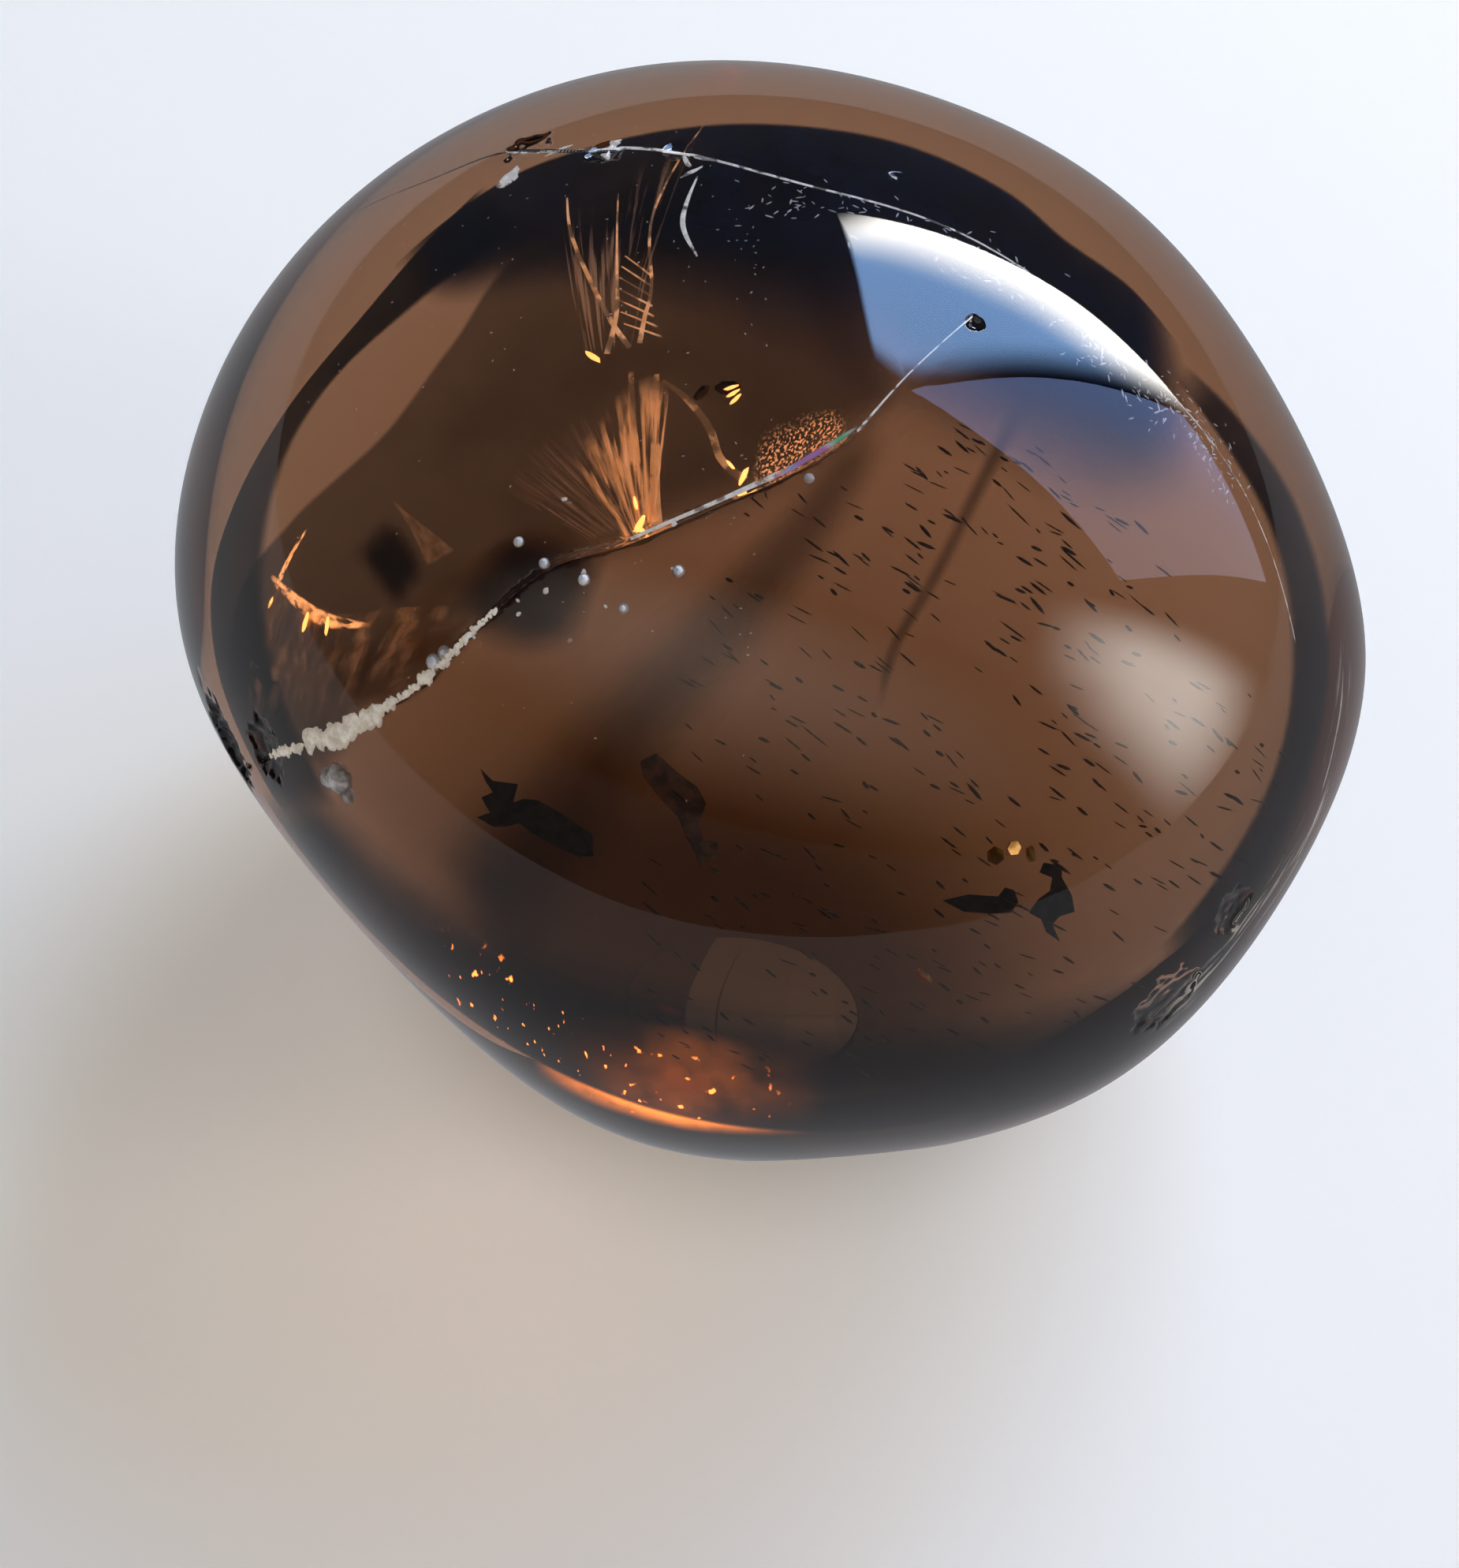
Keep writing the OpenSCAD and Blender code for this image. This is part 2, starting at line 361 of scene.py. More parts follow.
def grained_two_tone(name, color_a, color_b, roughness=0.7, scale=900, bump=0.3, **values):
    """Two tones, and a grain that also shows as relief: solid inclusions, and also the painted glints."""
    material = shader(name, Roughness=roughness, **values)
    grain = object_noise(material, scale, 5)
    color_between(material, grain, 0.35, 0.65, color_a, color_b)
    add_bump(material, grain, bump, 0.2 * MM)
    return material


# ---- the crystal ----

def raw_blank():
    bm = bmesh.new()
    bmesh.ops.create_icosphere(bm, subdivisions=7, radius=1)
    for v in bm.verts:
        u = v.co.normalized()
        v.co = u * skin_radius(u)
    return bm


def find_middle(bm):
    """Where the blank's centre goes so that it fills the crystal's box, with its crown at the top."""
    xs = [v.co.x for v in bm.verts]
    ys = [v.co.y for v in bm.verts]
    top = max(v.co.z for v in bm.verts)
    bm.free()
    x = (LOW.x + HIGH.x - min(xs) - max(xs)) / 2
    y = (LOW.y + HIGH.y - min(ys) - max(ys)) / 2
    return Vector((x, y, HIGH.z - top))


def crack_at(t):
    return smooth_path(CRACK_POINTS, t)


def crack_tree():
    tree = kdtree.KDTree(CRACK_STEPS)
    for i in range(CRACK_STEPS):
        tree.insert(crack_at(i / (CRACK_STEPS - 1)), i)
    tree.balance()
    return tree


def refine(bm, near, cuts):
    """Cuts the faces whose middle is near something into smaller ones, and lays them on the skin again."""
    edges = {}
    for face in bm.faces:
        if near(face.calc_center_median()):
            edges.update(dict.fromkeys(face.edges))
    made = bmesh.ops.subdivide_edges(bm, edges=list(edges), cuts=cuts, use_grid_fill=True)
    for item in made["geom_inner"]:
        if isinstance(item, bmesh.types.BMVert):
            u = (item.co - MIDDLE).normalized()
            item.co = in_stone(u, 1)


def bite_chips(bm):
    seats = [(on_skin(*where), radius * MM, depth * MM) for where, radius, depth in CHIPS]
    for v in bm.verts:
        u = (v.co - MIDDLE).normalized()
        sink = 0
        for seat, radius, depth in seats:
            wobble = 1 + 0.35 * noise.noise(v.co / (0.7 * MM))
            share = (v.co - seat).length * wobble / radius
            if share < 1:
                shells = 0.06 * depth * math.sin(share * 16)
                rough = 0.1 * depth * noise.noise(v.co / (0.5 * MM))
                sink = max(sink, depth * (1 - share * share) ** 0.6 + (shells + rough) * (1 - share))
        v.co -= u * sink


def grind_dish(bm):
    where, radius, depth = DISH
    seat = on_skin(*where)
    for v in bm.verts:
        share = (v.co - seat).length / (radius * MM)
        if share < 1:
            v.co -= (v.co - MIDDLE).normalized() * depth * MM * (1 - share * share)


def cut_groove(bm, tree):
    """The crack where it reaches the skin: a fine, broken groove."""
    for v in bm.verts:
        _, i, distance = tree.find(v.co)
        healed = min(max((0.85 - i / (CRACK_STEPS - 1)) / 0.15, 0), 1)
        width = (0.2 + 0.14 * noise.noise(v.co / (1.1 * MM))) * MM * healed
        if distance < width:
            u = (v.co - MIDDLE).normalized()
            v.co -= u * 0.35 * MM * (1 - distance / width)


def grind_foot(bm):
    """The small flat that the stone rests on, with a clean edge."""
    everything = bm.verts[:] + bm.edges[:] + bm.faces[:]
    level = Vector((0, 0, LOW.z))
    cut = bmesh.ops.bisect_plane(bm, geom=everything, plane_co=level, plane_no=(0, 0, -1), clear_outer=True)
    rim = [item for item in cut["geom_cut"] if isinstance(item, bmesh.types.BMEdge)]
    bmesh.ops.holes_fill(bm, edges=rim, sides=0)


def crack_film(first, last, steps):
    """The open crack between two shares of its length: a thin gap that dips into the stone."""
    dips = [heading(*dip) for _, dip, _ in CRACK]
    depths = [depth * MM for _, _, depth in CRACK]
    film = bmesh.new()
    bmesh.ops.create_grid(film, x_segments=steps, y_segments=20, size=1)
    for v in film.verts:
        t = first + (last - first) * (v.co.x + 1) / 2
        inward = (v.co.y + 1) / 2
        start = crack_at(t)
        down = (MIDDLE - start).normalized()
        dip = smooth_path(dips, t).normalized()
        front = 0.75 + 0.5 * wander(t * 30, 0, 5) + 0.3 * wander(t * 110, 0, 2)
        run = smooth_path(depths, t) * front * inward
        along = crack_at(t + 0.01) - crack_at(t - 0.01)
        face = along.cross(dip).normalized()
        hackle = wander(t * 90 + inward * 2, inward * 1.5) * 0.2 * MM * inward
        v.co = start + down * 0.5 * MM + dip * run + face * hackle
    bmesh.ops.solidify(film, geom=film.faces[:], thickness=0.08 * MM)
    bmesh.ops.recalc_face_normals(film, faces=film.faces[:])
    return film


def make_crystal():
    bm = raw_blank()
    bmesh.ops.translate(bm, vec=MIDDLE, verts=bm.verts)
    tree = crack_tree()
    seats = [(on_skin(*where), radius * MM) for where, radius, _ in CHIPS]

    def near(place, reach):
        return tree.find(place)[2] < reach or any((place - s).length < r + reach for s, r in seats)

    dish = on_skin(*DISH[0])
    refine(bm, lambda place: near(place, 0.9 * MM) or (place - dish).length < DISH[1] * MM + MM, 2)
    refine(bm, lambda place: near(place, 0.25 * MM), 1)
    bite_chips(bm)
    grind_dish(bm)
    cut_groove(bm, tree)
    grind_foot(bm)
    bmesh.ops.triangulate(bm, faces=bm.faces[:])
    film = crack_film(0.3, 0.84, 240)
    bmesh.ops.reverse_faces(film, faces=film.faces[:])
    join_into(bm, film)
    return finished("crystal", bm, smoky_quartz(), "smoky_quartz", "quartz_crystal")


# ---- painted shade: dark layers for the dark surroundings seen through the stone ----

def make_painted_shade():
    # Painted shade: a dark navy band under the crown.
    bm = new_body()
    top = (
        (-162, 48), (-172, 53), (177, 57), (164, 62), (145, 66), (119, 68), (88, 66), (63, 62), (48, 59),
        (39, 53), (30, 48)
    )
    low = (
        (-150, 54), (-146, 60), (-136, 71), (-115, 76), (-90, 77), (-62, 74), (-38, 68), (-22, 60),
        (-10, 50), (6, 41)
    )
    veil(bm, top, low, 0.95, along=90)
    finished(
        "painted_shade_crown", bm, darkening("painted_shade_crown", (0.005, 0.008, 0.018), 1, 0.1, 0.03, 0.5), "smoky_quartz"
    )

    # Painted shade: a dark cloud over the upper left.
    bm = new_body()
    far = ((-134, 6), (-139, 16), (-139, 28), (-140, 42), (-151, 52), (-170, 58), (177, 71), (83, 79))
    near = ((-114, 12), (-111, 24), (-106, 34), (-101, 43), (-93, 50), (-78, 57), (-55, 63), (-12, 69))
    veil(bm, far, near, 0.8, along=90, across=30)
    finished(
        "painted_shade_cloud", bm, darkening("painted_shade_cloud", (0.014, 0.01, 0.009), 0.52, 0.05, 0.03, 0.2),
        "smoky_quartz"
    )

    # Painted shade: a darker band inside the left rim.
    bm = new_body()
    outer = (
        (178, 52), (-168, 49), (-156, 43), (-148, 33), (-143, 24), (-139, 17), (-133, 12), (-126, 9),
        (-118, 6)
    )
    inner = (
        (-172, 61), (-162, 57), (-154, 50), (-148, 41), (-142, 34), (-134, 28), (-127, 24), (-118, 20),
        (-108, 16)
    )
    veil(bm, outer, inner, 0.9, along=80)
    finished(
        "painted_shade_left", bm, darkening("painted_shade_left", (0.006, 0.006, 0.009), 0.85, 0.06, 0.04, 0.2), "smoky_quartz"
    )

    # Painted shade: a darker band along the base, over the foot.
    bm = new_body()
    outer = (
        (-125, 3), (-112, -2), (-100, -4), (-90, -5), (-81, -6), (-67, -8), (-50, -9), (-34, -8), (-17, -7)
    )
    inner = (
        (-116, 17), (-102, 16), (-92, 16), (-82, 16), (-73, 16), (-65, 15), (-51, 13), (-37, 11), (-20, 8)
    )
    veil(bm, outer, inner, 0.88, along=90)
    finished(
        "painted_shade_base", bm, darkening("painted_shade_base", (0.012, 0.005, 0.006), 0.93, 0.08, 0.05, 0.5), "smoky_quartz"
    )

    # Painted shade: a slanting dark band.
    bm = new_body()
    ribbon(bm, ((-15, 71), (-59, 57), (-78, 39), (-87, 22), (-95, 2)), 0.72, (2.5, 5, 7, 9, 10))
    finished(
        "painted_shade_slant", bm, darkening("painted_shade_slant", (0.014, 0.007, 0.008), 0.42, 0.12, 0.5, 0.5),
        "smoky_quartz"
    )

    # Painted shade: a dark blotch.
    bm = new_body()
    veil(bm, ((-108, 41), (-98, 40), (-86, 44)), ((-108, 51), (-96, 55), (-88, 55)), 0.9)
    finished(
        "painted_shade_blotch", bm, darkening("painted_shade_blotch", (0.018, 0.006, 0.01), 0.85, 0.35, 0.35, 0.35),
        "smoky_quartz"
    )

    # Painted shade: a thin dark line.
    bm = new_body()
    ribbon(bm, ((16, 59), (-9, 58), (-29, 52), (-40, 46), (-44, 40)), 0.75, (1.4, 1.2, 1, 0.9, 0.6))
    finished(
        "painted_shade_line", bm, darkening("painted_shade_line", (0.014, 0.008, 0.008), 0.4, 0.2, 0.5, 0.5), "smoky_quartz"
    )

    # Painted shade: a darker band inside the right rim.
    bm = new_body()
    ribbon(
        bm, ((26, 48), (21, 40), (16, 32), (8, 24), (-2, 17), (-13, 12), (-22, 9)), 0.93,
        (2, 3.5, 4.5, 5, 4.5, 4, 2.5)
    )
    finished(
        "painted_shade_right", bm, darkening("painted_shade_right", (0.008, 0.008, 0.014), 0.85, 0.12, 0.25, 0.2),
        "smoky_quartz"
    )


# ---- healed fractures, with the light they catch painted on as colour and glow ----

def make_fan():
    # Painted glints: copper light and glow on the fan fractures, set into their sheets.
    bm = new_body()
    root = ((-90, 56), (-88, 57), (-87, 58), (-86, 59), (-85, 59))
    tips = ((-112, 60), (-114, 65), (-118, 70), (-114, 73), (-104, 73))
    veil(bm, root, tips, 0.82, 0.8, along=60, across=30, waver=0.006)
    finished(
        "fan_low", bm, painted_fracture_glint("fan_low", 0.85, 13, 1.6, 0.42, 0.6, 0.5, 0.08, 0.02, 0.35), "smoky_quartz"
    )

    bm = new_body()
    root = ((-95, 54), (-90, 57), (-88, 58))
    tips = ((-116, 52), (-119, 58), (-117, 66))
    veil(bm, root, tips, 0.84, 0.82, along=60, across=30)
    material = painted_fracture_glint("fan_plume", 0.4, 30, 1.4, 0.4, 0.65, 0.08, 0.15, 0.05, 0.5, 6)
    finished("fan_plume", bm, material, "smoky_quartz")

    bm = new_body()
    root = ((-120, 68), (-116, 70), (-112, 72))
    tips = ((-176, 65), (179, 69), (138, 66))
    veil(bm, root, tips, 0.965, along=60, across=30)
    finished(
        "fan_high", bm, painted_fracture_glint("fan_high", 0.35, 16, 1.5, 0.5, 0.62, 0.15, 0.1, 0.05, 0.6, 3),
        "smoky_quartz"
    )

    # Painted glints along the fan's ribs and edges.
    bm = new_body()
    ribbon(bm, ((-87, 58), (-91, 60), (-102, 66), (-120, 71)), 0.8, (1.6, 1.0, 0.5, 0.3))
    ribbon(bm, ((-86, 59), (-89, 62), (-98, 68), (-113, 73)), 0.8, (0.9, 0.6, 0.45, 0.3))
    ribbon(bm, ((-109, 73), (-96, 73), (-83, 71), (-76, 68), (-68, 66)), 0.8, (0.2, 0.35, 0.4, 0.4, 0.5))
    ribbon(
        bm, ((-112, 73), (-120, 75), (-133, 77), (-176, 76), (140, 67)), 0.965,
        (0.3, 0.25, 0.2, 0.15, 0.08)
    )
    ribbon(bm, ((-113, 72), (-130, 72), (-161, 69), (-176, 66)), 0.965, (0.3, 0.25, 0.2, 0.1))
    ribbon(bm, ((-116, 70), (-128, 73), (-150, 74), (179, 71)), 0.965, (0.35, 0.25, 0.15, 0.08))
    for i in range(7):
        ribbon(bm, ((-122 - 5 * i, 73 + 0.3 * i), (-108 - 5 * i, 75 + 0.4 * i)), 0.965, (0.06, 0.12), 8, 2)
    material = grained_two_tone("painted_glint_edge", (0.6, 0.26, 0.1), (1, 0.7, 0.42), 0.4, 700, 0.2)
    painted_glow(material, (0.9, 0.42, 0.16, 1), 0.35)
    gaps = rise(material, object_noise(material, 600, 3), 0.42, 0.55, 0.1, 0.8)
    set_alpha(material, gaps)
    finished("fan_ribs", bm, material, "smoky_quartz")


def make_patch():
    # Painted glint: copper light caught in a small fracture.
    bm = new_body()
    veil(
        bm, ((-66, 64), (-57, 66), (-48, 68), (-39, 69)), ((-66, 70), (-58, 72), (-46, 73), (-36, 72)),
        0.88, waver=0.02
    )
    material = painted_fracture_glint("painted_glint_patch", 0.9, 34, 20, 0.54, 0.6, 0.7, 0.2, 0.1, 0.6, 5)
    finished("patch", bm, material, "smoky_quartz")


def make_feather():
    # Painted glint: copper light and glow on the feather fracture and its edge.
    bm = new_body()
    top = ((-133, 25), (-128, 27), (-121, 31), (-114, 37), (-106, 42))
    tail = ((-124, 12), (-120, 15), (-115, 20), (-109, 26), (-104, 34))
    veil(bm, top, tail, 0.86, 0.93, along=80, across=30, waver=0.02)
    material = painted_fracture_glint("feather", 0.55, 16, 1.9, 0.36, 0.74, 0.08, 0.15, 0.02, 0.75, 8)
    finished("feather", bm, material, "smoky_quartz")

    bm = new_body()
    ribbon(bm, ((-133, 25), (-127, 27), (-122, 29), (-116, 33)), 0.858, (0.3, 0.8, 0.9, 0.2))
    ribbon(bm, ((-131, 25), (-132, 28), (-133, 32)), 0.858, (0.5, 0.4, 0.15))
    material = painted_fracture_glint("feather_edge", 0.95, 12, 2, 0.35, 0.55, 1.4, 0.15, 0.2, 0.3, 2)
    finished("feather_edge", bm, material, "smoky_quartz")


def make_lobe():
    """A brown lobe at the feather's root, with a dark eye above it and a pale splinter beside it."""
    bm = new_body()
    veil(
        bm, ((-120, 29), (-113, 34), (-107, 39), (-104, 43)),
        ((-115, 24), (-108, 28), (-104, 33), (-102, 40)), 0.88
    )
    material = darkening("lobe_brown", (0.12, 0.045, 0.015), 0.5, 0.3, 0.3, 0.3)
    finished("feather_lobe", bm, material, "smoky_quartz")

    bm = new_body()
    veil(bm, ((-125, 36), (-119, 36), (-113, 36)), ((-125, 42), (-119, 43), (-113, 42)), 0.87)
    finished(
        "dark_eye", bm, darkening("dark_eye", (0.004, 0.004, 0.005), 0.75, 0.35, 0.35, 0.35), "smoky_quartz"
    )

    # The splinter's pale copper colour and faint glow are a painted glint.
    bm = new_body()
    veil(bm, ((-126, 43), (-119, 44.5), (-112, 45.5)), ((-126, 43), (-120, 43), (-114, 42)), 0.87)
    material = painted_fracture_glint("splinter", 0.35, 6, 3, 0.2, 0.5, 0.1, 0.1, 0.1, 0.1, 7)
    finished("pale_splinter", bm, material, "smoky_quartz")


def make_painted_caustic():
    # Painted light: a glowing orange sheet for sunlight focused through the stone.
    bm = new_body()
    low = ((-84, -14), (-76, -14), (-68, -14), (-61, -13), (-53, -12))
    high = ((-84, 4), (-76, 6), (-68, 7), (-61, 6), (-53, 5))
    veil(bm, low, high, 0.84)
    material = shader("painted_caustic", Base_Color=(0.9, 0.25, 0.05, 1), Roughness=0.6)
    painted_glow(material, (1, 0.27, 0.04, 1), 5)
    caustic_streaks = rise(material, strand_noise(material, 7, 4, 5), 0.2, 0.6, 0.25, 0.9)
    color_between(material, object_noise(material, 400, 3), 0.4, 0.6, (0.5, 0.1, 0.02), (1, 0.5, 0.2))
    mask = calc(material, "MULTIPLY", caustic_streaks, edge_mask(material, 0.5, 0.5, 0.5))
    set_alpha(material, mask)
    finished("painted_caustic_glow", bm, material, "smoky_quartz")

    # Painted glints: bright orange sparks beside the glow.
    bm = new_body()
    veil(
        bm, ((-94, -3), (-84, -6), (-74, -9), (-58, -8)), ((-95, 11), (-85, 12), (-74, 8), (-56, 5)), 0.9,
        along=90
    )
    material = painted_fracture_glint("painted_orange_glints", 0.95, 34, 8, 0.65, 0.71, 4, 0.25, 0.3, 0.3, 4)
    principled = material.node_tree.nodes["Principled BSDF"]
    principled.inputs["Emission Color"].default_value = (1, 0.22, 0.03, 1)
    finished("painted_orange_glints", bm, material, "smoky_quartz")


def make_painted_glints():
    """Painted glints: glowing points where fractures face the light."""
    bm = new_body()
    spots = (
        (-132, 68, 0.8, 0.45), (-82, 76.4, 0.8, 0.3), (-80, 75.8, 0.8, 0.3), (-78, 75.2, 0.8, 0.3), (
            -68, 66, 0.84, 0.4
        ), (
            -88, 58, 0.82, 0.5
        ),
        (-130, 24, 0.87, 0.3), (-124, 27, 0.87, 0.45), (-121, 29, 0.87, 0.4), (-91, 60, 0.82, 0.3), (
            -72, 67, 0.84, 0.25
        ),
    )
    for i, (azimuth, elevation, share, size) in enumerate(spots):
        blob(bm, on_skin(azimuth, elevation, share), size * MM, 0.5 + 0.2 * i, (1.3, 0.35, 0.3))
    material = grained_two_tone("painted_glint_point", (1, 0.5, 0.15), (1, 0.8, 0.5), 0.4, 500, 0.2)
    painted_glow(material, (1, 0.42, 0.1, 1), 2.5)
    finished("painted_glint_points", bm, material, "smoky_quartz")


# ---- solid inclusions ----

def make_specks():
    """Fine dark needles, all leaning the same way, thickest on the right."""
    bm = new_body()
    lean = heading(4, -19)
    count = 0
    while count < 460:
        azimuth, elevation = random.uniform(-72, -2), random.uniform(2, 64)
        share = random.uniform(0.82, 0.94)
        thick = 0.35 + 0.65 * random.random() ** 2
        crowd = 0.5 + 0.5 * (azimuth + 72) / 70 + 0.6 * wander(azimuth / 9, elevation / 9, 3)
        if random.random() > crowd:
            continue
        count += 1
        needle = new_body()
        bmesh.ops.create_icosphere(needle, subdivisions=1, radius=1)
        length = random.uniform(0.2, 0.7) * (1.5 if random.random() < 0.08 else 1)
        for v in needle.verts:
            v.co = Vector((v.co.x * 0.12 * thick, v.co.y * 0.1 * thick, v.co.z * length)) * MM
        tilt = (lean + 0.25 * shake()).normalized()
        bmesh.ops.rotate(
            needle, cent=(0, 0, 0), matrix=tilt.to_track_quat("Z", "Y").to_matrix(), verts=needle.verts
        )
        bmesh.ops.translate(needle, vec=on_skin(azimuth, elevation, share), verts=needle.verts)
        join_into(bm, needle)
    finished(
        "dark_needles", bm, grained_two_tone("needle_black", (0.01, 0.008, 0.006), (0.04, 0.025, 0.015)),
        "black_mineral", "dark_rods"
    )


def make_crust():
    """Cream crust grown in the crack mouth, from the chipped left end up the shoulder."""
    bm = new_body()
    for i in range(230):
        t = 0.06 + 0.33 * i / 229
        spot = crack_at(t)
        body = 0.35 + 1.5 * abs(wander(t * 45, 3)) + 1.1 * math.exp(-((t - 0.17) / 0.05) ** 2)
        if wander(t * 60, 11) < -0.25:
            continue
        drift = shake() * 0.28 * body * MM
        u = (spot + drift - MIDDLE).normalized()
        size = random.uniform(0.16, 0.36) * body * MM
        blob(bm, in_stone(u, 1) - u * size * 0.45, size, i, (1.2, 0.9, 0.5), 2, 0.5)
    material = grained_two_tone("crust_cream", (0.5, 0.42, 0.32), (0.95, 0.9, 0.8), 0.9, 1400, 0.6)
    # Painted light: a faint glow on the crust; its cream colour is its own.
    painted_glow(material, (1, 0.9, 0.76, 1), 0.22)
    finished("crust", bm, material, "pale_crust", "crack_crust")


def make_hairlines():
    """Healed hairline cracks and small bruises just under the polish."""
    bm = new_body()
    ribbon(bm, ((174, 54), (171, 62), (163, 68), (154, 73)), 0.998, (0.1, 0.3, 0.3, 0.2))
    ribbon(
        bm, ((154, 73), (108, 81), (43, 72), (22, 57), (12, 41), (3, 28)), 0.998,
        (0.22, 0.18, 0.14, 0.1, 0.08, 0.05), 120, 3
    )
    ribbon(bm, ((-40, 68), (-22, 71), (-5, 71.5), (10, 70.5)), 0.998, (0.14, 0.08, 0.06, 0.06))
    ribbon(bm, ((159, 77), (-170, 80), (-140, 82)), 0.998, (0.1, 0.3, 0.1), 40, 3)
    ribbon(bm, ((-84, 56.5), (-72, 61.5), (-56, 65.5)), 0.998, (0.15, 0.2, 0.3))
    for azimuth, elevation, turn in (
        (159, 76, 0), (156, 74, 1.2), (150, 75, 2.2), (166, 66, 0.6), (171, 61, 2.6)
    ):
        blob(bm, on_skin(azimuth, elevation, 0.996), 0.5 * MM, turn, (1.6, 0.3, 0.12), 2, 0.6)
    beads = (
        (-96, 47), (-95, 46), (-89, 52), (-91, 53), (-87, 46), (-78, 59), (-76, 55), (-98, 57), (-93, 49),
        (-84, 50)
    )
    for i, where in enumerate(beads + ((-100, 40), (-100.5, 38.5), (-99, 42))):
        blob(bm, on_skin(*where, 0.985), (0.12 + 0.05 * (i % 3)) * MM, i, (1, 0.7, 0.7), 2, 0.3)
    for i in range(16):
        where = (-179 + random.uniform(-2.5, 2.5), 58.5 + random.uniform(-0.7, 0.7))
        blob(bm, on_skin(*where, 0.994), random.uniform(0.15, 0.35) * MM, i, (1.4, 0.7, 0.4), 2, 0.6)
    for i in range(10):
        where = (166 + random.uniform(-3, 3), 66 + random.uniform(-0.8, 0.8))
        blob(bm, on_skin(*where, 0.994), random.uniform(0.1, 0.3) * MM, i, (1.4, 0.7, 0.4), 2, 0.6)
    material = grained_two_tone("hairline_white", (0.6, 0.58, 0.55), (0.95, 0.94, 0.92), 0.5, 1500, 0.5)
    # Painted light: a faint glow on the white hairlines and bruises.
    painted_glow(material, (1, 0.98, 0.96, 1), 0.2)
    set_alpha(material, rise(material, object_noise(material, 900, 4), 0.4, 0.52, 0.12, 0.95))
    finished("hairlines", bm, material, "white_grain")

    bm = new_body()
    ribbon(
        bm, ((-176, 36), (-179, 47), (174, 54.5), (171, 62), (166, 67)), 0.998,
        (0.1, 0.15, 0.25, 0.35, 0.3), 120, 3
    )
    material = grained_two_tone("hairline_dark", (0.01, 0.008, 0.007), (0.05, 0.035, 0.03), 0.8, 1500, 0.5)
    set_alpha(material, rise(material, object_noise(material, 700, 4), 0.38, 0.5, 0.2, 0.95))
    finished("back_crack", bm, material, "smoky_quartz")

    bm = new_body()
    # Painted sheen: the rainbow colours of light in the thin gap, set as colour.
    ribbon(bm, ((-62, 64), (-54, 66), (-46, 67.5), (-39, 68.5)), 0.9975, (0.1, 0.4, 0.35, 0.1))
    material = shader("painted_rainbow_sheen", Roughness=0.2)
    hue = object_noise(material, 420, 1)
    ramp = add_node(material, "ShaderNodeValToRGB", ((0, hue),))
    stops = (
        (0.35, (0.2, 0.9, 0.5)), (0.45, (0.95, 0.95, 0.9)), (0.52, (1, 0.35, 0.7)), (0.62, (0.35, 0.5, 1))
    )
    while len(ramp.color_ramp.elements) < len(stops):
        ramp.color_ramp.elements.new(0.5)
    for element, (place, color) in zip(ramp.color_ramp.elements, stops):
        element.position = place
        element.color = (*color, 1)
    principled = material.node_tree.nodes["Principled BSDF"]
    material.node_tree.links.new(ramp.outputs[0], principled.inputs["Base Color"])
    set_alpha(material, calc(material, "MULTIPLY", edge_mask(material, 0.2, 0.3, 0.3), 0.8))
    finished("painted_rainbow_sheen", bm, material, "smoky_quartz")


def make_wear():
    """Tiny scuffs along the rounded shoulder."""
    bm = new_body()
    path = [heading(*h) for h in ((139, 84), (76, 81), (33, 72), (22, 62), (16, 55), (15, 48), (11, 42))]
    for i in range(320):
        u = smooth_path(path, random.random() ** 0.8)
        drift = Vector((random.gauss(0, 1), random.gauss(0, 1), random.gauss(0, 1))) * 0.03
        size = random.uniform(0.04, 0.12) * MM
        blob(
            bm, in_stone((u + drift).normalized(), 0.998), size, random.uniform(0, 3), (2.5, 0.6, 0.3), 1,
            0.3
        )
    for i in range(170):
        where = heading(random.uniform(150, 300), random.uniform(35, 88))
        size = random.uniform(0.025, 0.06) * MM
        blob(bm, in_stone(where, 0.998), size, random.uniform(0, 3), (1.8, 0.8, 0.4), 1, 0.3)
    finished(
        "wear_scuffs", bm, grained_two_tone("scuff_white", (0.7, 0.7, 0.7), (0.95, 0.95, 0.95), 0.6), "white_grain"
    )


def make_right_veils():
    bm = new_body()
    outer = ((13, 16), (5, 10), (-2, 5), (-10, 2), (-17, -1), (-24, -4))
    inner = ((13, 22), (5, 17), (-2, 12), (-10, 9), (-17, 6), (-24, 2))
    veil(bm, outer, inner, 0.95, waver=0.01)
    material = grained_two_tone("veil_pale", (0.45, 0.42, 0.38), (0.8, 0.77, 0.7), 0.6, 800, 0.4)
    # Painted light: a faint glow on the pale veils.
    painted_glow(material, (0.8, 0.78, 0.7, 1), 0.12)
    streak = rise(material, strand_noise(material, 4, 9, 4), 0.52, 0.66, 0, 0.7)
    set_alpha(material, calc(material, "MULTIPLY", streak, edge_mask(material, 0.2, 0.2, 0.3)))
    finished("veils_right", bm, material, "smoky_quartz")


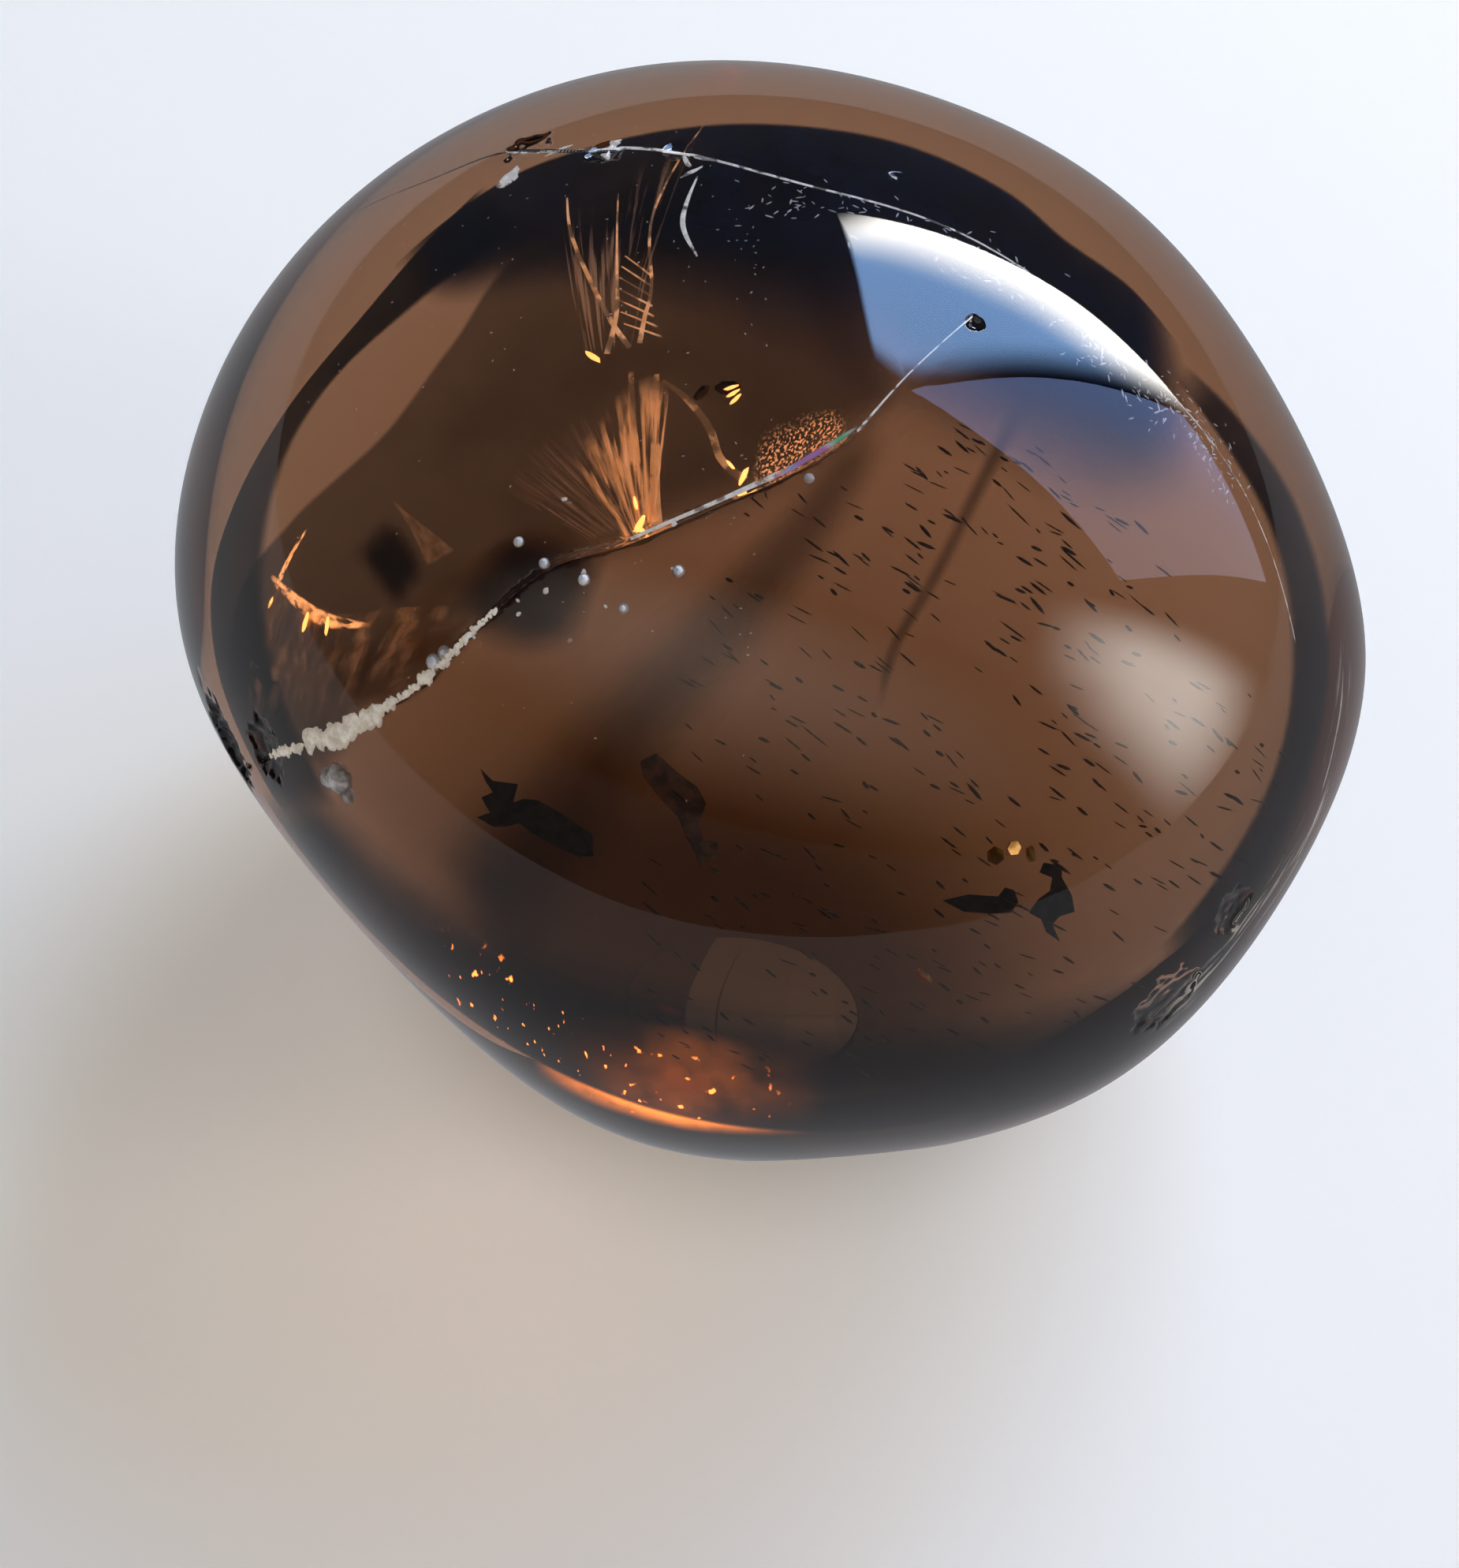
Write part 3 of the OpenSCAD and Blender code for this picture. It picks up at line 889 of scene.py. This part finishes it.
def paint_kept_nodes():
    """The CAD nodes that are shown as they are get their finish here."""
    finishes = {
        "pit_nodule": grained_two_tone("nodule_grey", (0.3, 0.27, 0.26), (0.95, 0.92, 0.9), 0.2, 900, 0.7),
        "crack_grains": grained_two_tone("grain_white", (0.75, 0.72, 0.7), (1, 0.98, 0.96), 0.2, 900, 0.3),
        "black_flake_bird": grained_two_tone(
            "flake_black", (0.004, 0.004, 0.004), (0.02, 0.015, 0.012), 0.8, 1200, 0.4
        ),
        "black_flake_comma": grained_two_tone(
            "flake_black_b", (0.004, 0.004, 0.004), (0.02, 0.015, 0.012), 0.8, 1200, 0.4
        ),
        "black_flake_torn": grained_two_tone(
            "flake_black_c", (0.004, 0.003, 0.003), (0.02, 0.014, 0.01), 0.8, 1200, 0.4
        ),
        "brown_flake_folded": grained_two_tone(
            "flake_brown", (0.03, 0.012, 0.006), (0.09, 0.04, 0.02), 0.7, 1200, 0.4
        ),
        "gold_plates": grained_two_tone(
            "gold_plate", (0.3, 0.16, 0.04), (0.85, 0.55, 0.2), 0.35, 900, 0.4, Metallic=0.8
        ),
    }
    for name, material in finishes.items():
        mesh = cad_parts[name].data
        mesh.materials.clear()
        mesh.materials.append(material)


# ---- the stage ----

def make_floor():
    bpy.ops.mesh.primitive_plane_add(size=FLOOR_SIZE)
    floor = bpy.context.object
    floor.name = "floor"
    material = shader("pale_paper", Base_Color=(0.76, 0.735, 0.675, 1), Roughness=0.9)
    where = add_node(material, "ShaderNodeTexCoord").outputs["Object"]
    reach = add_node(material, "ShaderNodeVectorMath", ((0, where),), operation="LENGTH").outputs["Value"]
    glow = rise(material, reach, *FOOT_SHADE, 0.05, 0.3)
    principled = material.node_tree.nodes["Principled BSDF"]
    principled.inputs["Emission Color"].default_value = (1, 0.97, 0.92, 1)
    links, nodes = material.node_tree.links, material.node_tree.nodes
    links.new(glow, principled.inputs["Emission Strength"])
    # Mirrored in the polish, the floor is an even grey. Seen directly or through the stone, it is as it is.
    path = add_node(material, "ShaderNodeLightPath").outputs
    through = calc(material, "SUBTRACT", 1.0, path["Is Transmission Ray"])
    mirrored = calc(material, "MULTIPLY", path["Is Glossy Ray"], through)
    dim = add_node(material, "ShaderNodeEmission", (("Color", (0.3, 0.31, 0.33, 1)), ("Strength", 1.0)))
    choice = add_node(
        material, "ShaderNodeMixShader", ((0, mirrored), (1, principled.outputs[0]), (2, dim.outputs[0]))
    )
    links.new(choice.outputs[0], nodes["Material Output"].inputs["Surface"])
    floor.data.materials.append(material)


def softbox(name, corners, distance, color_a, strength_a, color_b, strength_b, spread=1.0, soft=0.0):
    """A glowing panel with its corners at four headings, running from one colour to another across it.
    soft is the share of it over which its edges fade out."""
    bm = new_body()
    bmesh.ops.create_grid(bm, x_segments=1, y_segments=1, size=1, calc_uvs=True)
    a, b, c, d = (heading(*h) * distance for h in corners)
    for v in bm.verts:
        s, t = (v.co.x + 1) / 2, (v.co.y + 1) / 2
        v.co = MIDDLE + a.lerp(b, s).lerp(d.lerp(c, s), t)
    mesh = bpy.data.meshes.new(name)
    bm.to_mesh(mesh)
    bm.free()
    material = bpy.data.materials.new(name)
    material.use_nodes = True
    nodes = material.node_tree.nodes
    nodes.remove(nodes["Principled BSDF"])
    _, t = along_across(material)
    near = rise(material, t, 0, spread)
    strong_a = tuple(c * strength_a for c in color_a)
    strong_b = tuple(c * strength_b for c in color_b)
    feeds = ((0, near), (6, (*strong_a, 1)), (7, (*strong_b, 1)))
    mixed = add_node(material, "ShaderNodeMix", feeds, data_type="RGBA").outputs[2]
    strength = edge_mask(material, soft, soft if soft > 0.3 else 0.01, soft) if soft else 1.0
    shine = add_node(material, "ShaderNodeEmission", (("Color", mixed), ("Strength", strength)))
    material.node_tree.links.new(shine.outputs[0], nodes["Material Output"].inputs["Surface"])
    mesh.materials.append(material)
    panel = bpy.data.objects.new(name, mesh)
    bpy.context.scene.collection.objects.link(panel)
    panel.visible_camera = False


def make_lights():
    softbox(
        "window", ((112, 37), (62, 16), (74, 66), (90, 66)), 0.9, (1, 0.96, 0.9), 22, (0.3, 0.54, 1), 9,
        0.34, 0.2
    )
    softbox(
        "wall", ((76, 66), (63, 19), (44, 4), (25, 36)), 0.95, (0.35, 0.5, 1), 3.2, (0.75, 0.78, 1), 1.8
    )
    softbox(
        "lamp", ((34, -4), (14, 50), (-12, 40), (0, -10)), 1.1, (1, 0.96, 0.9), 8, (1, 0.96, 0.9), 6, 1,
        0.45
    )
    softbox(
        "fill", ((-140, 15), (-10, 5), (-10, 45), (-140, 50)), 1.4, (1, 0.9, 0.8), 0.9, (1, 0.9, 0.8), 0.9,
        1, 0.5
    )


def make_world():
    world = bpy.data.worlds.new("studio")
    bpy.context.scene.world = world
    world.use_nodes = True
    back = world.node_tree.nodes["Background"]
    # Dim for the light on the stone, and pale behind it.
    seen = add_node(world, "ShaderNodeLightPath").outputs["Is Camera Ray"]
    feeds = ((0, seen), (6, (0.07, 0.068, 0.07, 1)), (7, (0.75, 0.76, 0.78, 1)))
    tone = add_node(world, "ShaderNodeMix", feeds, data_type="RGBA").outputs[2]
    world.node_tree.links.new(tone, back.inputs["Color"])


def make_camera():
    data = bpy.data.cameras.new("camera")
    data.lens = CAMERA_LENS
    data.clip_start = 0.01
    camera = bpy.data.objects.new("camera", data)
    bpy.context.scene.collection.objects.link(camera)
    back = heading(*CAMERA_HEADING)
    camera.location = MIDDLE + back * CAMERA_DISTANCE
    right = Vector((0, 0, 1)).cross(back).normalized()
    up = back.cross(right)
    aim = MIDDLE - right * 2.6 * MM - up * 11 * MM
    view = (aim - camera.location).normalized()
    camera.rotation_euler = view.to_track_quat("-Z", "Y").to_euler()
    bpy.context.scene.camera = camera


random.seed(4)
MIDDLE = find_middle(raw_blank())
CRACK_POINTS = [on_skin(*where) for where, _, _ in CRACK]
make_crystal()
make_painted_shade()
make_fan()
make_patch()
make_feather()
make_lobe()
make_painted_caustic()
make_painted_glints()
make_specks()
make_crust()
make_hairlines()
make_wear()
make_right_veils()
paint_kept_nodes()
make_floor()
make_lights()
make_world()
bpy.context.scene.view_settings.view_transform = "Standard"
make_camera()
